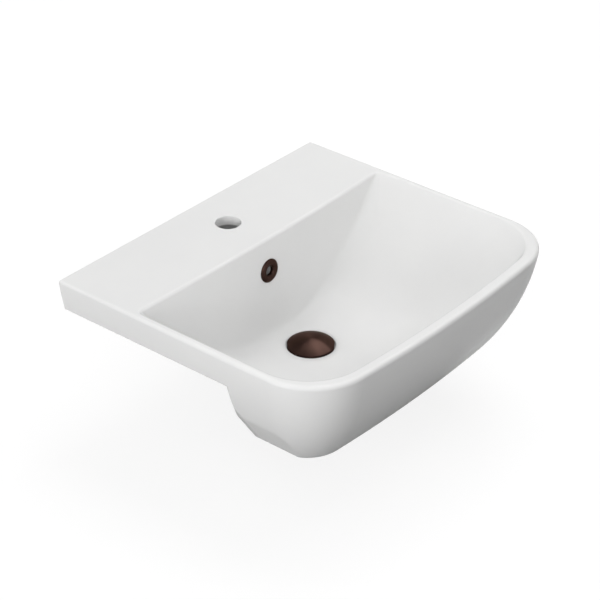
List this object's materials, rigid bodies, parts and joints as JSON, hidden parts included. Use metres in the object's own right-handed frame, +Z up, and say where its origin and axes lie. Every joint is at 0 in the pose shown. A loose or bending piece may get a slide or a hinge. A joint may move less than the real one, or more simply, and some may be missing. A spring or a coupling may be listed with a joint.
{
  "type": "semi recessed basin",
  "caption": "Rounded rectangular semi recessed washbasin with a tap ledge, one tap hole, an overflow ring in the back wall and a push-button waste with a domed plug.",
  "frame": {"origin": "on the centre plane at the foot of the back face, where the skirt stands on the worktop", "axes": "+X across the basin to the right as a user stands at it, +Y towards the wall, +Z up; the bowl's front is at -Y"},
  "size_m": [0.5004, 0.4399, 0.22],
  "materials": {
    "glazed_ceramic": "white gloss glaze",
    "brushed_bronze": "dark brown bronze, turned and brushed",
    "plain_brass": "turned brass, uncoated",
    "black_rubber": "matt moulded rubber",
    "white_plastic": "moulded acetal",
    "grey_plastic": "moulded nylon",
    "spring_steel": "drawn stainless wire"
  },
  "bodies": {
    "basin": {"basin_body": "glazed_ceramic", "overflow_ring": "brushed_bronze", "overflow_sleeve": "grey_plastic", "waste_body": "brushed_bronze", "flange_seal": "black_rubber", "lower_washer": "black_rubber", "slip_washer": "white_plastic", "backnut": "plain_brass", "latch_housing": "plain_brass", "latch_spring": "spring_steel"},
    "plug": {"plug_cap": "brushed_bronze", "plug_seal": "black_rubber", "plug_rod": "plain_brass", "plug_lock_nut": "plain_brass", "latch_cam": "white_plastic"}
  },
  "joints": [
    {"name": "plug_slide", "type": "slide", "parent": "basin", "child": "plug", "axis": [0, 0, 1], "range_m": [0, 0.008], "deforming": ["latch_spring"]}
  ]
}
